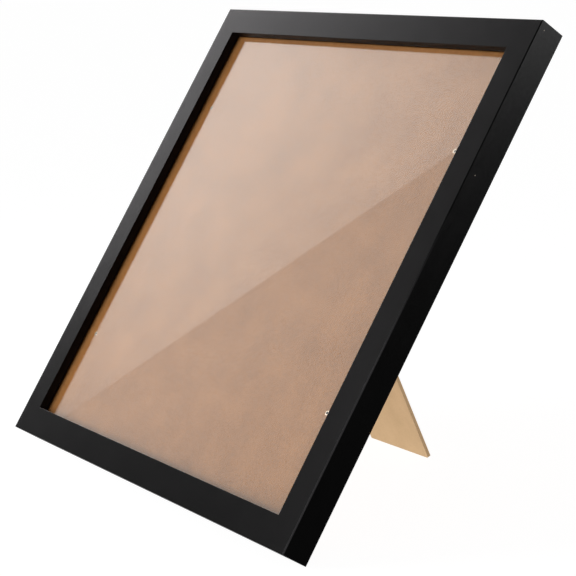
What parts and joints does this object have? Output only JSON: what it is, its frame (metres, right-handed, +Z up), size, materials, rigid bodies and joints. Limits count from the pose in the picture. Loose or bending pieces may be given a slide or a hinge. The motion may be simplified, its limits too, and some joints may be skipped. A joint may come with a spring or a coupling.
{
  "type": "easel-back photo frame",
  "caption": "Square black photo frame with mitred moulding, glass, a hardboard back held by turn buttons, and a hinged easel leg that folds flat behind it.",
  "frame": {"origin": "centre of the bounding box, on the surface that the frame stands on with its leg open", "axes": "+X across the frame to the viewer's right, +Y from the front of the frame towards its leg, +Z up; the frame leans back 32.3 degrees about X"},
  "size_m": [0.33, 0.2056, 0.2883],
  "materials": {
    "black_foil": "fibreboard wrapped in black paper foil, satin",
    "clear_glass": "clear float glass, polished",
    "hardboard": "bare brown hardboard, fine fibre fleck",
    "leg_board": "bare tan fibreboard, matt",
    "zinc_steel": "bright zinc-plated sheet steel",
    "nail_steel": "plain spring steel, dull"
  },
  "bodies": {
    "frame": {"top_rail": "black_foil", "bottom_rail": "black_foil", "left_stile": "black_foil", "right_stile": "black_foil", "corner_nail_lower_left": "nail_steel", "corner_nail_lower_right": "nail_steel", "corner_nail_upper_left": "nail_steel", "corner_nail_upper_right": "nail_steel", "glass_pane": "clear_glass", "backing_board": "hardboard", "button_rivet_upper_left": "zinc_steel", "button_rivet_lower_left": "zinc_steel", "button_rivet_lower_right": "zinc_steel", "button_rivet_upper_right": "zinc_steel", "hinge_board_plate": "zinc_steel", "hinge_pin": "zinc_steel", "board_tack_left": "zinc_steel", "board_tack_right": "zinc_steel"},
    "leg": {"easel_leg": "leg_board", "hinge_leg_plate": "zinc_steel", "leg_rivet_left": "zinc_steel", "leg_rivet_right": "zinc_steel"},
    "button_upper_left": {"turn_button_upper_left": "zinc_steel"},
    "button_lower_left": {"turn_button_lower_left": "zinc_steel"},
    "button_lower_right": {"turn_button_lower_right": "zinc_steel"},
    "button_upper_right": {"turn_button_upper_right": "zinc_steel"}
  },
  "joints": [
    {"name": "leg_fold", "type": "hinge", "parent": "frame", "child": "leg", "pos_m": [0, 0.02437, 0.18342], "axis": [1, 0, 0], "range_deg": [-55.3, 0]},
    {"name": "upper_left_turn", "type": "hinge", "parent": "frame", "child": "button_upper_left", "pos_m": [-0.136, 0.04349, 0.21927], "axis": [0, 0.8451, -0.5345], "continuous": true},
    {"name": "lower_left_turn", "type": "hinge", "parent": "frame", "child": "button_lower_left", "pos_m": [-0.136, -0.05035, 0.07089], "axis": [0, 0.8451, -0.5345], "continuous": true},
    {"name": "lower_right_turn", "type": "hinge", "parent": "frame", "child": "button_lower_right", "pos_m": [0.136, -0.0497, 0.07192], "axis": [0, 0.8451, -0.5345], "continuous": true},
    {"name": "upper_right_turn", "type": "hinge", "parent": "frame", "child": "button_upper_right", "pos_m": [0.136, 0.03893, 0.21206], "axis": [0, 0.8451, -0.5345], "continuous": true}
  ]
}
